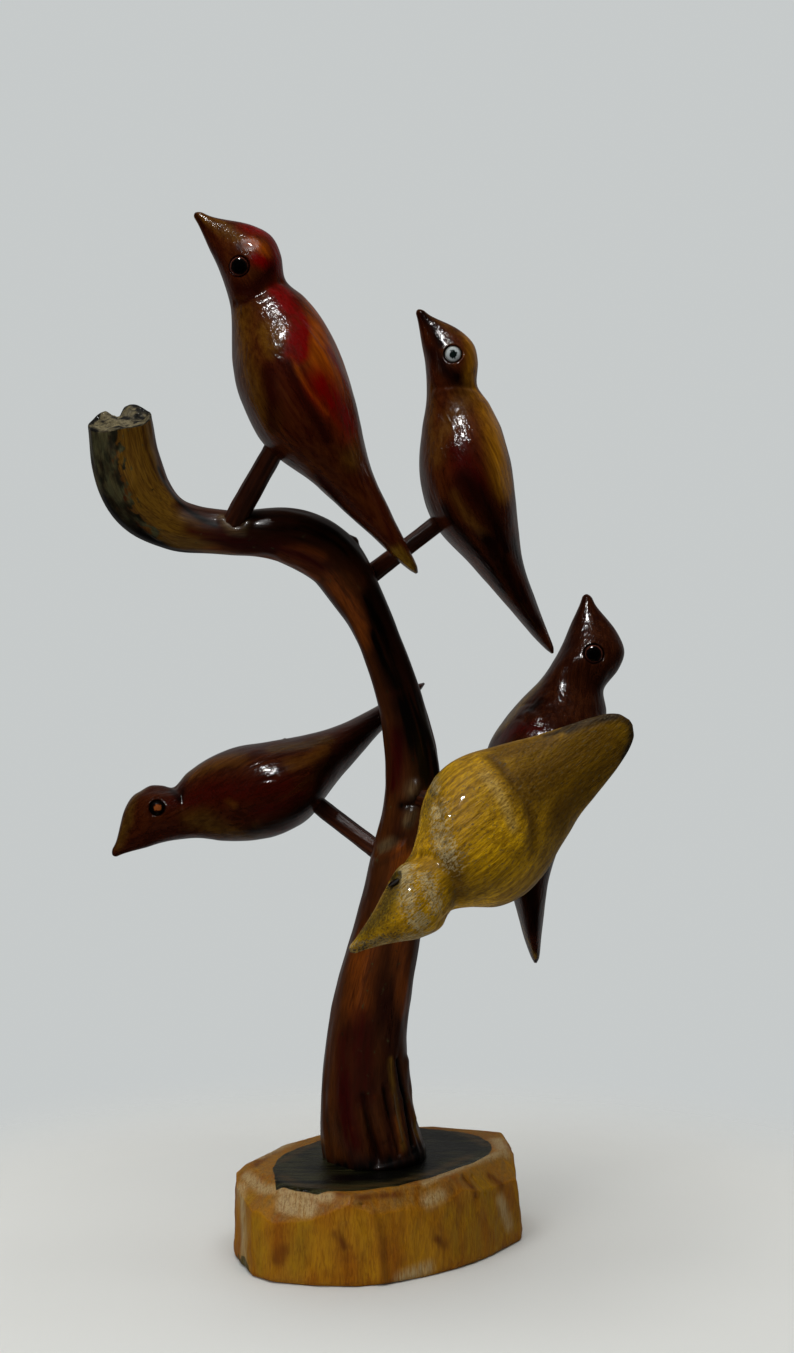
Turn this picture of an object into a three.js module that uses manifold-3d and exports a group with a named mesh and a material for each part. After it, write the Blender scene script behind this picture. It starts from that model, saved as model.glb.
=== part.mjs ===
// Bird tree carving: a bent branch on a slab of log, with five carved birds perched on pegs.
// Millimetres, +Z up. The origin is the middle of the slab's underside, and the front faces -Y.
import * as THREE from "three";
import { mergeVertices } from "three/addons/utils/BufferGeometryUtils.js";
import Module from "manifold-3d";

const wasm = await Module();
wasm.setup();

// Slab of log
const plinthWidth = 78;
const plinthDepth = 68.6;
const plinthHeight = 23.5;
const rimInset = 2.2; // how far the walls lean in on their way up
const rimShift = 1; // how far the top sits left of the underside
const rimBevel = 2.2; // height of the knife-cut edge round the top

// Branch
const branchHeight = 197; // from the slab to the sawn end
const branchThickness = 26.6; // across the foot
const sawTilt = 21; // degrees that the sawn end leans
const sawBearing = -113; // the way it leans, to the front and a little left
const sawBite = 6.6; // depth of the cut from the highest point of the end
const nickSize = 4.2; // chip out of the back of the sawn end

// Pegs and eyes
const fitGap = 0.3; // air between pieces that touch
const pegSocket = 5; // how far a peg goes into the branch, and into its bird
const eyeDiameter = 4.8;
const eyePitDepth = 1.8;
const eyeBeadThickness = 1.9;

// Fineness of the faceted surfaces
const branchRings = 46;
const branchSides = 18;
const birdRings = 24;
const birdSides = 18;
const pegSides = 9;
const beadSides = 12;

// Corners of the slab, sideways and back, as shares of its width and depth.
const plinthCorners = [
  [0.487, 0.06],
  [0.485, 0.28],
  [0.472, 0.42],
  [0.3, 0.485],
  [0.141, 0.545],
  [-0.038, 0.505],
  [-0.218, 0.4],
  [-0.385, 0.206],
  [-0.5, 0.02],
  [-0.49, -0.14],
  [-0.425, -0.353],
  [-0.35, -0.42],
  [-0.218, -0.46],
  [-0.077, -0.47],
  [0.013, -0.443],
  [0.154, -0.362],
  [0.256, -0.274],
  [0.362, -0.15],
];

// Facets that a knife took off the slab's top edge: the way each one faces, how steeply it looks up, and its depth.
const plinthFacets = [
  { bearing: -32, rise: 42, bite: 3.4 },
  { bearing: -64, rise: 34, bite: 1.5 },
  { bearing: -116, rise: 38, bite: 2.4 },
  { bearing: -158, rise: 40, bite: 2 },
  { bearing: 152, rise: 44, bite: 1.8 },
  { bearing: 98, rise: 40, bite: 1.6 },
];

// Centre of the branch: sideways, back and up, as shares of its height.
const branchLine = [
  [-0.006, 0.02, 0],
  [-0.019, 0.02, 0.076],
  [-0.02, 0.018, 0.146],
  [-0.01, 0.016, 0.229],
  [0.01, 0.015, 0.324],
  [0.031, 0.015, 0.419],
  [0.044, 0.015, 0.514],
  [0.034, 0.015, 0.588],
  [0.007, 0.013, 0.675],
  [-0.026, 0.01, 0.751],
  [-0.068, 0.008, 0.814],
  [-0.124, 0.005, 0.841],
  [-0.2, 0, 0.845],
  [-0.27, 0, 0.857],
  [-0.313, 0, 0.889],
  [-0.335, 0, 0.937],
  [-0.343, 0, 0.985],
  [-0.345, 0, 1.012],
];

// Thickness of the branch: share of the way along it, and share of its thickness at the foot.
const branchGirth = [
  [0, 1.02],
  [0.06, 0.905],
  [0.15, 0.793],
  [0.23, 0.705],
  [0.345, 0.59],
  [0.45, 0.512],
  [0.556, 0.42],
  [0.6, 0.432],
  [0.655, 0.545],
  [0.69, 0.605],
  [0.72, 0.59],
  [0.76, 0.5],
  [0.807, 0.448],
  [0.853, 0.508],
  [0.897, 0.645],
  [0.94, 0.675],
  [1, 0.632],
];

// Outline of a bird as shares of its length: distance from the beak, back, belly and half width.
const birdForm = [
  [0, 0.002, -0.003, 0.004],
  [0.03, 0.03, -0.01, 0.018],
  [0.09, 0.092, -0.018, 0.042],
  [0.14, 0.121, -0.024, 0.068],
  [0.19, 0.117, -0.035, 0.085],
  [0.25, 0.095, -0.057, 0.084],
  [0.31, 0.113, -0.092, 0.108],
  [0.39, 0.122, -0.13, 0.155],
  [0.48, 0.112, -0.151, 0.182],
  [0.57, 0.088, -0.147, 0.178],
  [0.66, 0.057, -0.112, 0.15],
  [0.75, 0.031, -0.081, 0.118],
  [0.85, 0.019, -0.052, 0.09],
  [0.94, 0.012, -0.028, 0.062],
  [0.985, 0.008, -0.012, 0.036],
  [1, 0.002, -0.004, 0.01],
];
const widestLevel = 0.45; // height of the widest line, from belly to back
const tailStart = 0.7; // where the tail starts to sweep

// Each perch: where its peg leaves the branch (share along it, and degrees round it from its outer side to the front),
// the way the peg leans and its bare length. Then its bird: the ways its beak and back face, the share of its length
// where the peg meets the belly, how far it bows, how much longer and higher its tail sweeps, how full it is, and its
// eye's distance from the beak and height.
const perches = [
  {
    name: "upper_left",
    along: 0.791,
    turn: 62,
    lean: [0.497, -0.138, 0.856],
    reach: 20.9,
    pegDiameter: 5.6,
    birdLength: 108,
    beak: [-0.525, 0.046, 0.85],
    back: [0.851, 0.02, 0.525],
    seat: 0.577,
    bow: -0.002,
    tail: [0, 0],
    girth: 0.995,
    eye: [0.174, 0.021],
    colour: 0x7a1a12,
  },
  {
    name: "upper_right",
    along: 0.643,
    turn: -25,
    lean: [0.791, 0.125, 0.599],
    reach: 20.9,
    pegDiameter: 4.8,
    birdLength: 97.1,
    beak: [-0.367, 0.051, 0.929],
    back: [0.93, 0.05, 0.364],
    seat: 0.560,
    bow: 0.0274,
    tail: [0, 0],
    girth: 0.971,
    eye: [0.153, 0.038],
    colour: 0x4a160c,
  },
  {
    name: "lower_left",
    along: 0.335,
    turn: -150,
    lean: [-0.76, 0.375, 0.531],
    reach: 20.7,
    pegDiameter: 4.8,
    birdLength: 89.5,
    beak: [-0.86, -0.257, -0.441],
    back: [-0.477, 0.097, 0.873],
    seat: 0.613,
    bow: 0.019,
    tail: [0.077, 0.01],
    girth: 1.1,
    eye: [0.174, 0.058],
    colour: 0x3a120a,
  },
  {
    name: "front",
    along: 0.404,
    turn: 59,
    lean: [0.779, -0.607, -0.156],
    reach: 17.2,
    pegDiameter: 4.8,
    birdLength: 94.9,
    beak: [-0.75, -0.369, -0.549],
    back: [0.4, -0.914, 0.068],
    seat: 0.560,
    bow: 0.026,
    tail: [0, 0],
    girth: 1.12,
    eye: [0.19, 0.03],
    colour: 0xa9781a,
  },
  {
    name: "lower_right",
    along: 0.359,
    turn: -30,
    lean: [0.683, 0.476, 0.554],
    reach: 20.1,
    pegDiameter: 4.8,
    birdLength: 100.7,
    beak: [0.144, 0.179, 0.973],
    back: [0.99, -0.031, -0.14],
    seat: 0.570,
    bow: 0.042,
    tail: [0, 0],
    girth: 1.13,
    eye: [0.168, 0.035],
    colour: 0x32100a,
  },
];

// Smooth value through rows of [share, values...] at a share, by cubic pieces with the slopes of their neighbours.
function smooth(rows, share, column) {
  const last = rows.length - 2;
  let i = 0;
  while (i < last && share > rows[i + 1][0]) i++;
  const slope = (k) => {
    const before = rows[Math.max(k - 1, 0)];
    const after = rows[Math.min(k + 1, rows.length - 1)];
    return (after[column] - before[column]) / (after[0] - before[0]);
  };
  const span = rows[i + 1][0] - rows[i][0];
  const t = (share - rows[i][0]) / span;
  const rise = t * t * (3 - 2 * t);
  const start = t * (1 - t) * (1 - t) * span * slope(i);
  const end = t * t * (t - 1) * span * slope(i + 1);
  return rows[i][column] * (1 - rise) + rows[i + 1][column] * rise + start + end;
}

// Closed surface through rings of points, with a point in the middle of each end.
function loft(rings) {
  const sides = rings[0].length;
  const middle = (ring) => ring.reduce((sum, p) => sum.add(p), new THREE.Vector3()).divideScalar(sides);
  const points = [middle(rings[0]), ...rings.flat(), middle(rings.at(-1))];
  const faces = [];
  const at = (ring, side) => 1 + ring * sides + (side % sides);
  for (let side = 0; side < sides; side++) {
    faces.push(0, at(0, side + 1), at(0, side));
    for (let ring = 0; ring < rings.length - 1; ring++) {
      faces.push(at(ring, side), at(ring, side + 1), at(ring + 1, side + 1));
      faces.push(at(ring, side), at(ring + 1, side + 1), at(ring + 1, side));
    }
    faces.push(at(rings.length - 1, side), at(rings.length - 1, side + 1), points.length - 1);
  }
  return new THREE.BufferGeometry().setFromPoints(points).setIndex(faces);
}

function solidOf(geometry, matrix = new THREE.Matrix4()) {
  const bare = new THREE.BufferGeometry();
  bare.setAttribute("position", geometry.getAttribute("position").clone());
  bare.setIndex(geometry.index);
  bare.applyMatrix4(matrix);
  const merged = mergeVertices(bare, 1e-4);
  return new wasm.Manifold(
    new wasm.Mesh({
      numProp: 3,
      vertProperties: merged.attributes.position.array,
      triVerts: new Uint32Array(merged.index.array),
    }),
  );
}

function geometryOf(solid) {
  const mesh = solid.getMesh();
  const geometry = new THREE.BufferGeometry();
  geometry.setAttribute("position", new THREE.Float32BufferAttribute(mesh.vertProperties, 3));
  geometry.setIndex(new THREE.BufferAttribute(mesh.triVerts, 1));
  geometry.computeVertexNormals();
  return geometry;
}

function piece(name, geometry, colour, roughness) {
  const material = new THREE.MeshStandardMaterial({ color: colour, roughness, metalness: 0 });
  const mesh = new THREE.Mesh(geometry, material);
  mesh.name = name;
  return mesh;
}

// Matrix that stands a shape made along +Y on a point, with +Y turned to a direction.
function standOn(point, direction) {
  const turn = new THREE.Quaternion().setFromUnitVectors(new THREE.Vector3(0, 1, 0), direction);
  return new THREE.Matrix4().compose(point, turn, new THREE.Vector3(1, 1, 1));
}

// Cylinder from one distance to another along a direction, for pegs, their holes and the eye pits.
function rod(diameter, from, to, sides) {
  const radius = diameter / 2;
  return new THREE.CylinderGeometry(radius, radius, to - from, sides).translate(0, (from + to) / 2, 0);
}

// Solid with one flat facet cut off it, bite deep from its outermost point in the way that the facet faces.
function shave(solid, { bearing, rise, bite }) {
  const facing = new THREE.Vector3().setFromSphericalCoords(
    1,
    THREE.MathUtils.degToRad(90 - rise),
    THREE.MathUtils.degToRad(90 + bearing),
  );
  facing.set(facing.x, -facing.z, facing.y);
  const points = solid.getMesh().vertProperties;
  let reach = -Infinity;
  for (let i = 0; i < points.length; i += 3) {
    reach = Math.max(reach, facing.x * points[i] + facing.y * points[i + 1] + facing.z * points[i + 2]);
  }
  const size = 2 * (plinthWidth + plinthDepth + branchHeight);
  const block = new THREE.BoxGeometry(size, size, size).translate(0, size / 2, 0);
  return solid.subtract(solidOf(block, standOn(facing.clone().multiplyScalar(reach - bite), facing)));
}

function makePlinth() {
  // Height and inset of each ring, from the underside to the rim of the top.
  const levels = [
    [0, 0.5],
    [1.2, 0],
    [plinthHeight * 0.55, rimInset * 0.25],
    [plinthHeight - rimBevel, rimInset * 0.6],
    [plinthHeight, rimInset + rimBevel * 0.3],
  ];
  const rings = levels.map(([height, inset]) =>
    plinthCorners.map(([sideways, back]) => {
      const corner = new THREE.Vector3(sideways * plinthWidth, back * plinthDepth, 0);
      corner.setLength(corner.length() - inset);
      return corner.set(corner.x - (rimShift * height) / plinthHeight, corner.y, height);
    }),
  );
  const slab = plinthFacets.reduce(shave, solidOf(loft(rings)));
  return piece("plinth", geometryOf(slab), 0xa8702c, 0.45);
}

const branchCurve = new THREE.CatmullRomCurve3(
  branchLine.map(
    ([sideways, back, up]) =>
      new THREE.Vector3(sideways, back, up)
        .multiplyScalar(branchHeight)
        .add(new THREE.Vector3(0, 0, plinthHeight + fitGap)),
  ),
  false,
  "centripetal",
);

// Point on the branch's surface: its share along the branch, and degrees round it from its outer side to the front.
function branchSurface(along, turn) {
  const centre = branchCurve.getPointAt(along);
  const onward = branchCurve.getTangentAt(along);
  const front = new THREE.Vector3(0, -1, 0);
  front.addScaledVector(onward, -front.dot(onward)).normalize();
  const outer = onward.clone().cross(front);
  const radius = (branchThickness / 2) * smooth(branchGirth, along, 1);
  const angle = THREE.MathUtils.degToRad(turn);
  return centre
    .addScaledVector(outer, radius * Math.cos(angle))
    .addScaledVector(front, radius * Math.sin(angle));
}

function makeBranch() {
  const rings = [];
  for (let ring = 0; ring <= branchRings; ring++) {
    const round = [];
    for (let side = 0; side < branchSides; side++) {
      round.push(branchSurface(ring / branchRings, (-360 * side) / branchSides));
    }
    rings.push(round);
  }
  rings[0].forEach((point) => point.setZ(plinthHeight + fitGap)); // flat foot on the slab
  const sawn = shave(solidOf(loft(rings)), { bearing: sawBearing, rise: 90 - sawTilt, bite: sawBite });
  const nick = new THREE.SphereGeometry(nickSize / 2, 10, 8);
  const chipped = sawn.subtract(
    solidOf(nick, new THREE.Matrix4().setPosition(branchSurface(1, -100))),
  );
  const bored = perches.reduce((wood, perch) => {
    const hole = rod(perch.pegDiameter + 2 * fitGap, -pegSocket - fitGap, perch.pegDiameter, pegSides);
    return wood.subtract(solidOf(hole, standOn(pegRoot(perch), pegLean(perch))));
  }, chipped);
  return piece("branch", geometryOf(bored), 0x3c1a0c, 0.3);
}

function pegRoot(perch) {
  return branchSurface(perch.along, perch.turn);
}

function pegLean(perch) {
  return new THREE.Vector3(...perch.lean).normalize();
}

function makePeg(perch) {
  const geometry = rod(perch.pegDiameter, -pegSocket, perch.reach + pegSocket, pegSides);
  const peg = piece("peg_" + perch.name, geometry, 0x35150b, 0.35);
  peg.applyMatrix4(standOn(pegRoot(perch), pegLean(perch)));
  return peg;
}

// Distance from the beak, levels of the back and belly, and half width at a share of a bird's length, in millimetres
// from the straight line through its beak. The bow bends the whole bird down, and the tail can sweep out and up.
function birdSection(perch, share) {
  const [longer, higher] = perch.tail;
  const sweep = Math.max(0, (share - tailStart) / (1 - tailStart)) ** 2;
  const bend = perch.bow * Math.sin(Math.PI * share) - higher * sweep;
  return {
    along: (share + longer * sweep) * perch.birdLength,
    back: (smooth(birdForm, share, 1) * perch.girth - bend) * perch.birdLength,
    belly: (smooth(birdForm, share, 2) * perch.girth - bend) * perch.birdLength,
    half: smooth(birdForm, share, 3) * perch.girth * perch.birdLength,
  };
}

// The bird's own frame: +X to the beak, +Z to the back, and the origin where the peg meets the belly.
function makeBird(perch) {
  const seat = birdSection(perch, perch.seat);
  const rings = [];
  for (let ring = 0; ring <= birdRings; ring++) {
    const share = (1 - Math.cos((Math.PI * ring) / birdRings)) / 2;
    const { along, back, belly, half } = birdSection(perch, share);
    const widest = belly + (back - belly) * widestLevel;
    const round = [];
    for (let side = 0; side < birdSides; side++) {
      const angle = (2 * Math.PI * side) / birdSides;
      const height = Math.sin(angle) > 0 ? back - widest : widest - belly;
      round.push(
        new THREE.Vector3(
          seat.along - along,
          -half * Math.cos(angle),
          widest + height * Math.sin(angle) - seat.belly,
        ),
      );
    }
    rings.push(round);
  }

  const bird = new THREE.Group();
  const beak = new THREE.Vector3(...perch.beak).normalize();
  const left = new THREE.Vector3(...perch.back).cross(beak).normalize();
  const back = beak.clone().cross(left);
  bird.setRotationFromMatrix(new THREE.Matrix4().makeBasis(beak, left, back));
  bird.position.copy(pegRoot(perch)).addScaledVector(pegLean(perch), perch.reach);

  const lean = pegLean(perch).applyQuaternion(bird.quaternion.clone().invert());
  const hole = rod(perch.pegDiameter + 2 * fitGap, -perch.pegDiameter, pegSocket + fitGap, pegSides);
  let body = solidOf(loft(rings)).subtract(solidOf(hole, standOn(new THREE.Vector3(), lean)));

  const [eyeShare, eyeRise] = perch.eye;
  const head = birdSection(perch, eyeShare);
  const level = eyeRise * perch.birdLength;
  const widest = head.belly + (head.back - head.belly) * widestLevel;
  const height = level > widest ? head.back - widest : widest - head.belly;
  const cheek = head.half * Math.sqrt(1 - ((level - widest) / height) ** 2);
  for (const [side, out] of [
    ["l", 1],
    ["r", -1],
  ]) {
    const outward = new THREE.Vector3(0, out, 0);
    const eye = new THREE.Vector3(seat.along - head.along, out * cheek, level - seat.belly);
    const pit = rod(eyeDiameter + 2 * fitGap, -eyePitDepth - fitGap, eyeDiameter, beadSides);
    body = body.subtract(solidOf(pit, standOn(eye, outward)));
    const bead = new THREE.SphereGeometry(eyeDiameter / 2, beadSides, 8);
    bead.scale(1, eyeBeadThickness / eyeDiameter, 1);
    const mesh = piece("eye_" + perch.name + "_" + side, bead, 0x0c0a09, 0.12);
    mesh.position.copy(eye).addScaledVector(outward, eyeBeadThickness / 2 - eyePitDepth);
    bird.add(mesh);
  }
  bird.add(piece("bird_" + perch.name, geometryOf(body), perch.colour, 0.25));
  return bird;
}

const tree = new THREE.Group();
tree.add(makePlinth(), makeBranch());
for (const perch of perches) {
  tree.add(makePeg(perch), makeBird(perch));
}

export default tree;
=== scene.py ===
import bpy
import numpy as np
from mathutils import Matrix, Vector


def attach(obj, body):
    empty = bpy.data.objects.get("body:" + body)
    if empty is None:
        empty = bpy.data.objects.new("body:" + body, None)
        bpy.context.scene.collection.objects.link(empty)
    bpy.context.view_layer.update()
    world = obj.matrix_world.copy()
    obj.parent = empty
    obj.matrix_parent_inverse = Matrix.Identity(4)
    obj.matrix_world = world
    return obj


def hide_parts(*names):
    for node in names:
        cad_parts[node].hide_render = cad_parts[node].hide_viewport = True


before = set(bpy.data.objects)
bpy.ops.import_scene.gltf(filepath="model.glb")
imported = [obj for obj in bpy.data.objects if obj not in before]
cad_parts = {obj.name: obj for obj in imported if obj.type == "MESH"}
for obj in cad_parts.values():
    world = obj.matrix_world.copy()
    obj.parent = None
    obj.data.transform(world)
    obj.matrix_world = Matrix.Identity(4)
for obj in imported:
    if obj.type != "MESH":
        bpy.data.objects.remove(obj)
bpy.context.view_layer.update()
print("frame loaded:", len(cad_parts), "nodes")

metres = 0.001
fullTurn = 2 * np.pi


def unit(vectors):
    vectors = np.asarray(vectors, float)
    return vectors / np.maximum(np.linalg.norm(vectors, axis=-1, keepdims=True), 1e-12)


def aimed(bearing, rise):  # unit vector from degrees round the upright axis and up
    bearing, rise = np.radians(bearing), np.radians(rise)
    return np.array([np.cos(rise) * np.cos(bearing), np.cos(rise) * np.sin(bearing), np.sin(rise)])


def ease(values, low, high):  # 0 below low, 1 above high, and an S between them: 3t^2 - 2t^3
    t = np.clip((values - low) / (high - low), 0, 1)
    return t * t * (3 - 2 * t)


def curved(rows, share):
    # Values through rows of [share, values...]: on each span the cubic that has both ends' values and, as
    # slopes, the slopes between their neighbours.
    rows = np.asarray(rows, float)
    last = len(rows) - 1
    share = np.asarray(share, float)
    i = np.clip(np.searchsorted(rows[:, 0], share, side="left") - 1, 0, last - 1)
    before, after = np.maximum(np.arange(last + 1) - 1, 0), np.minimum(np.arange(last + 1) + 1, last)
    slopes = (rows[after] - rows[before]) / (rows[after, :1] - rows[before, :1])
    span = (rows[i + 1, 0] - rows[i, 0])[..., None]
    t = (share - rows[i, 0])[..., None] / span
    rise = t * t * (3 - 2 * t)
    bends = span * (t * (1 - t) ** 2 * slopes[i] + t * t * (t - 1) * slopes[i + 1])
    return (rows[i] * (1 - rise) + rows[i + 1] * rise + bends)[..., 1:]


def hashed(i, j, k, seed):  # a repeatable value from -1 to 1 for each whole-numbered place
    n = (i * 73856093) ^ (j * 19349663) ^ (k * 83492791) ^ (seed * 2654435761)
    n = (n & 0xFFFFFFFF) * 1274126177 & 0xFFFFFFFF
    n = ((n ^ (n >> 15)) * 2246822519) & 0xFFFFFFFF
    n = n ^ (n >> 13)
    return (n & 0xFFFFFF) / 0x7FFFFF - 1.0


def lumps(points, size, seed, octaves=2):
    # Smooth noise: values hashed at the corners of cubes of one size, blended across each cube by an S curve,
    # with cubes half as large and half as strong added for each octave.
    total = np.zeros(points.shape[:-1])
    for octave in range(octaves):
        scaled = points / np.asarray(size, float) * 2 ** octave + 31.7
        cell = np.floor(scaled).astype(np.int64)
        t = scaled - cell
        t = t * t * t * (t * (6 * t - 15) + 10)
        value = 0
        for corner in range(8):
            step = np.array([corner & 1, corner >> 1 & 1, corner >> 2])
            weight = np.where(step, t, 1 - t).prod(-1)
            value = value + weight * hashed(*np.moveaxis(cell + step, -1, 0), seed + octave)
        total += value / 2 ** octave
    return total


def layered(points, layers, seed=0):  # lumps added up: the size, seed, octaves and strength of each layer
    return sum(lumps(points, size, own + seed, octaves) * strength for size, own, octaves, strength in layers)


def awayFrom(points, path):  # distance from each point to a line through a path's points
    path = np.asarray(path, float)
    best = np.full(points.shape[:-1], np.inf)
    for a, b in zip(path, path[1:] if len(path) > 1 else path):
        step = b - a
        t = np.clip((points - a) @ step / max(step @ step, 1e-9), 0, 1)
        best = np.minimum(best, np.linalg.norm(points - a - t[..., None] * step, axis=-1))
    return best


def covered(points, rows, size, place):
    # How far strokes cover each point, from 0 to 1. A row is a stroke's width and then the numbers of its
    # path, size of them for each step, which place turns into a point. Its edge is as soft as it is wide, or
    # as its row says.
    total = 0 * points[..., 0]
    for first, *numbers in rows:
        width, soft = np.broadcast_to(first, 2)
        away = awayFrom(points, [place(*step) for step in np.reshape(numbers, (-1, size))])
        total = np.maximum(total, 1 - ease(away, width - soft, width + soft))
    return total


def raisedBy(points, rows, size, place):  # height of relief whose rows say how high, how wide and the path
    total = 0 * points[..., 0]
    for raised, width, *numbers in rows:
        away = awayFrom(points, [place(*step) for step in np.reshape(numbers, (-1, size))])
        total += raised * (1 - ease(away, 0, width))
    return total


def spread(count, density, closed=False):  # values from 0 to 1, closer together where the density is higher
    fine = np.linspace(0, 1, 4001)
    total = np.concatenate([[0], np.cumsum((density(fine[1:]) + density(fine[:-1])) / 2)])
    wanted = np.arange(count) / count if closed else np.linspace(0, 1, count)
    return np.interp(wanted * total[-1], total, fine)


def outward(grid):  # unit normals of a wrapped grid: the cross product of its two differences
    along = np.gradient(grid, axis=0)
    around = np.roll(grid, -1, axis=1) - np.roll(grid, 1, axis=1)
    normal = unit(np.cross(along, around))
    side = (normal * (grid - grid.mean(axis=1, keepdims=True))).sum(-1)
    return normal * (1 if np.median(side) > 0 else -1)


def ringed(reach, angle, height):  # points at a distance and an angle round an upright axis
    return np.stack(np.broadcast_arrays(reach * np.cos(angle), reach * np.sin(angle), height), -1)


def gridPiece(name, grid, marks, node, finish):
    # Closed mesh of rings of points, with one point in the middle of each end. marks are point attributes.
    rings, sides = grid.shape[:2]
    points = np.concatenate([grid[0].mean(0)[None], grid.reshape(-1, 3), grid[-1].mean(0)[None]]) * metres
    ring = np.arange(rings - 1)[:, None] * sides + 1
    side = np.arange(sides)[None]
    onward = (side + 1) % sides
    after = ring + sides
    quads = np.stack([ring + side, ring + onward, after + onward, after + side], -1).reshape(-1, 4)
    first = np.stack([0 * side, 1 + onward, 1 + side], -1)[0]
    lastRing = 1 + (rings - 1) * sides
    final = np.stack([0 * side + len(points) - 1, lastRing + side, lastRing + onward], -1)[0]
    a, b, c = points[quads[:, 0]], points[quads[:, 1]], points[quads[:, 2]]
    if (a * np.cross(b, c)).sum() < 0:
        quads, first, final = quads[:, ::-1], first[:, ::-1], final[:, ::-1]
    mesh = bpy.data.meshes.new(name)
    mesh.from_pydata(points.tolist(), [], quads.tolist() + first.tolist() + final.tolist())
    mesh.shade_smooth()
    for mark, values in marks.items():
        values = values.reshape(rings, sides, -1)
        flat = values.reshape(rings * sides, -1)
        flat = np.concatenate([values[0].mean(0)[None], flat, values[-1].mean(0)[None]])
        vector = flat.shape[1] == 3
        attribute = mesh.attributes.new(mark, "FLOAT_VECTOR" if vector else "FLOAT", "POINT")
        attribute.data.foreach_set("vector" if vector else "value", flat.astype(np.float32).ravel())
    mesh.materials.append(finish)
    made = bpy.data.objects.new(name, mesh)
    bpy.context.scene.collection.objects.link(made)
    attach(made, "root")
    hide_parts(node)


def tone(code):  # a colour written as six hex digits, made linear
    parts = [int(code[i:i + 2], 16) / 255 for i in (0, 2, 4)]
    return tuple(p / 12.92 if p <= 0.04045 else ((p + 0.055) / 1.055) ** 2.4 for p in parts) + (1.0,)


# Materials


class Signal:  # an output socket that takes part in sums
    def __init__(self, finish, socket):
        self.finish, self.socket = finish, socket

    def maths(self, operation, first, second):
        return self.finish.node("ShaderNodeMath", {"operation": operation}, {0: first, 1: second})

    def __add__(self, other):
        return self.maths("ADD", self, other)

    __radd__ = __add__

    def __sub__(self, other):
        return self.maths("SUBTRACT", self, other)

    def __rsub__(self, other):
        return self.maths("SUBTRACT", other, self)

    def __mul__(self, other):
        return self.maths("MULTIPLY", self, other)

    __rmul__ = __mul__

    def above(self, low, high):  # the S curve of ease, as a node
        settings = {"interpolation_type": "SMOOTHSTEP"}
        return self.finish.node("ShaderNodeMapRange", settings, {0: self, 1: low, 2: high, 3: 0.0, 4: 1.0})


class Finish:  # the nodes of one material, or of the room's light
    def __init__(self, holder):
        self.holder = holder
        holder.use_nodes = True
        self.tree = holder.node_tree
        self.tree.nodes.clear()

    def node(self, kind, settings, inputs, output=0):  # an input given as text is a colour's hex digits
        made = self.tree.nodes.new(kind)
        for key, value in settings.items():
            setattr(made, key, value)
        for key, value in inputs.items():
            if isinstance(value, Signal):
                self.tree.links.new(value.socket, made.inputs[key])
            else:
                made.inputs[key].default_value = tone(value) if isinstance(value, str) else value
        return Signal(self, made.outputs[output])

    def read(self, mark, output="Fac"):
        return self.node("ShaderNodeAttribute", {"attribute_name": mark}, {}, output)

    def stretched(self, vector, scales):
        return self.node("ShaderNodeVectorMath", {"operation": "MULTIPLY"}, {0: vector, 1: scales})

    def noise(self, vector, scales, detail=3.0, distortion=0.0):
        place = self.stretched(vector, scales)
        inputs = {"Vector": place, "Scale": 1.0, "Detail": detail, "Distortion": distortion}
        return self.node("ShaderNodeTexNoise", {}, inputs)

    def mix(self, factor, first, second, way="MIX"):
        settings = {"data_type": "RGBA", "blend_type": way}
        return self.node("ShaderNodeMix", settings, {0: factor, 6: first, 7: second}, 2)

    def darkened(self, colour, strength, where, code):  # multiplied by another colour where a noise is low
        shade = self.mix(where, code, (1.0, 1.0, 1.0, 1.0))
        return self.mix(strength, colour, shade, "MULTIPLY")

    def end(self, kind, shader):
        self.tree.links.new(shader.socket, self.tree.nodes.new(kind).inputs["Surface"])

    def shine(self, colour, roughness, relief, depth, **constants):
        # relief is a height of about 1, depth is what 1 stands for, in millimetres.
        height = {"Strength": 1.0, "Distance": depth * metres, "Height": relief}
        bump = self.node("ShaderNodeBump", {}, height)
        surface = {"Base Color": colour, "Roughness": roughness, "Normal": bump, "Specular IOR Level": 0.3}
        shader = self.node("ShaderNodeBsdfPrincipled", {}, {**surface, **constants})
        self.end("ShaderNodeOutputMaterial", shader)
        return self.holder


def grained(name, clouds, streaks, fibres):  # a new wood, its own places and three noises along its grain
    wood = Finish(bpy.data.materials.new(name))
    own = wood.read("own", "Vector")
    return wood, own, wood.noise(own, *clouds), wood.noise(own, *streaks), wood.noise(own, *fibres)


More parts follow.
